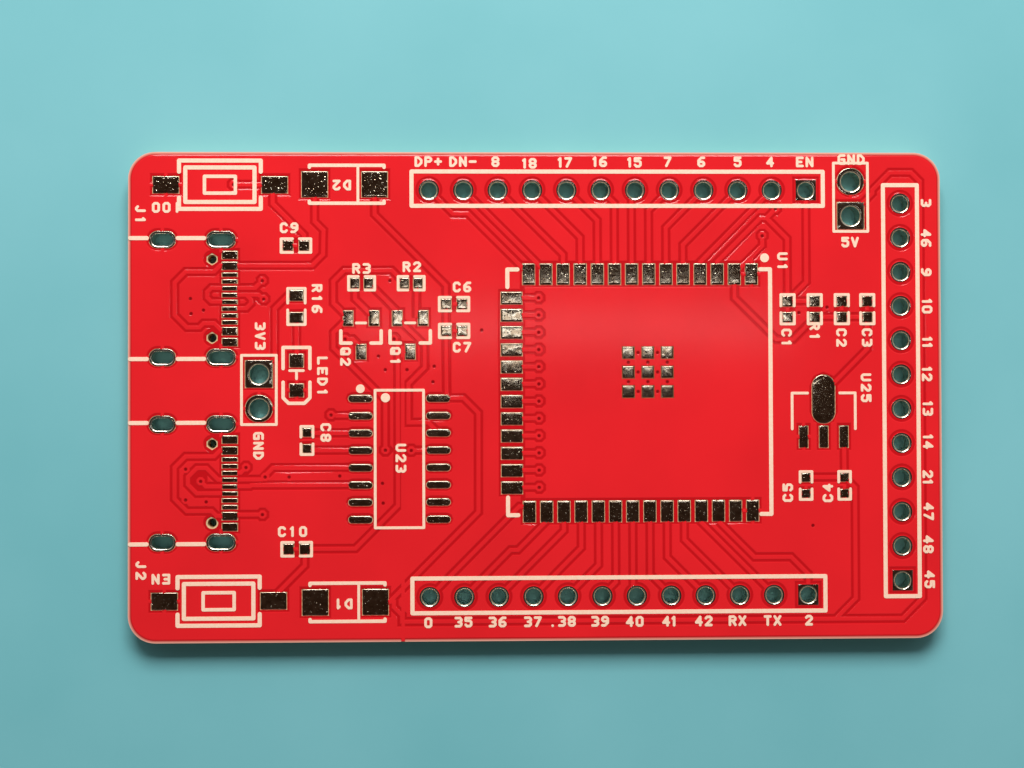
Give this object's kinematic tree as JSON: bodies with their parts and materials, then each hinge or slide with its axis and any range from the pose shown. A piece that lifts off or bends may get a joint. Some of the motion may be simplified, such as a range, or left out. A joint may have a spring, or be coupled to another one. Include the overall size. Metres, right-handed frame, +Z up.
{
  "type": "development board",
  "caption": "Bare red two-sided circuit board for a wireless development kit, with pin headers and two port footprints.",
  "frame": {"origin": "middle of the board's outline, on the plane of its underside", "axes": "+X along the board's length, from the edge with the two ports to the short edge with the header; +Y across the board, towards the edge with the upper header; +Z up, out of the face that carries the pads and the legend"},
  "size_m": [0.06, 0.036, 0.0016],
  "materials": {
    "laminate": "glass-epoxy core, satin at its cut edge",
    "copper": "bare rolled copper foil",
    "solder_mask": "glossy red solder mask",
    "tin": "bright levelled solder",
    "legend_ink": "matt white legend ink"
  },
  "bodies": {
    "root": {"laminate": "laminate", "top_ground_pour": "copper", "top_tracks": "copper", "bottom_ground_pour": "copper", "bottom_tracks": "copper", "top_solder_mask": "solder_mask", "bottom_solder_mask": "solder_mask", "via_barrels": "copper", "top_header_holes": "tin", "bottom_header_holes": "tin", "right_header_holes": "tin", "supply_5v_holes": "tin", "supply_3v3_holes": "tin", "port_1_shell_slots": "tin", "port_2_shell_slots": "tin", "port_1_contact_pads": "tin", "port_2_contact_pads": "tin", "module_top_pads": "tin", "module_bottom_pads": "tin", "module_left_pads": "tin", "module_thermal_pads": "tin", "serial_chip_pads": "tin", "regulator_pads": "tin", "transistor_pads": "tin", "boot_button_pads": "tin", "reset_button_pads": "tin", "diode_pads": "tin", "led_pads": "tin", "resistor_pads": "tin", "capacitor_pads": "tin", "header_legend": "legend_ink", "module_legend": "legend_ink", "port_legend": "legend_ink", "button_legend": "legend_ink", "part_legend": "legend_ink"}
  },
  "joints": []
}
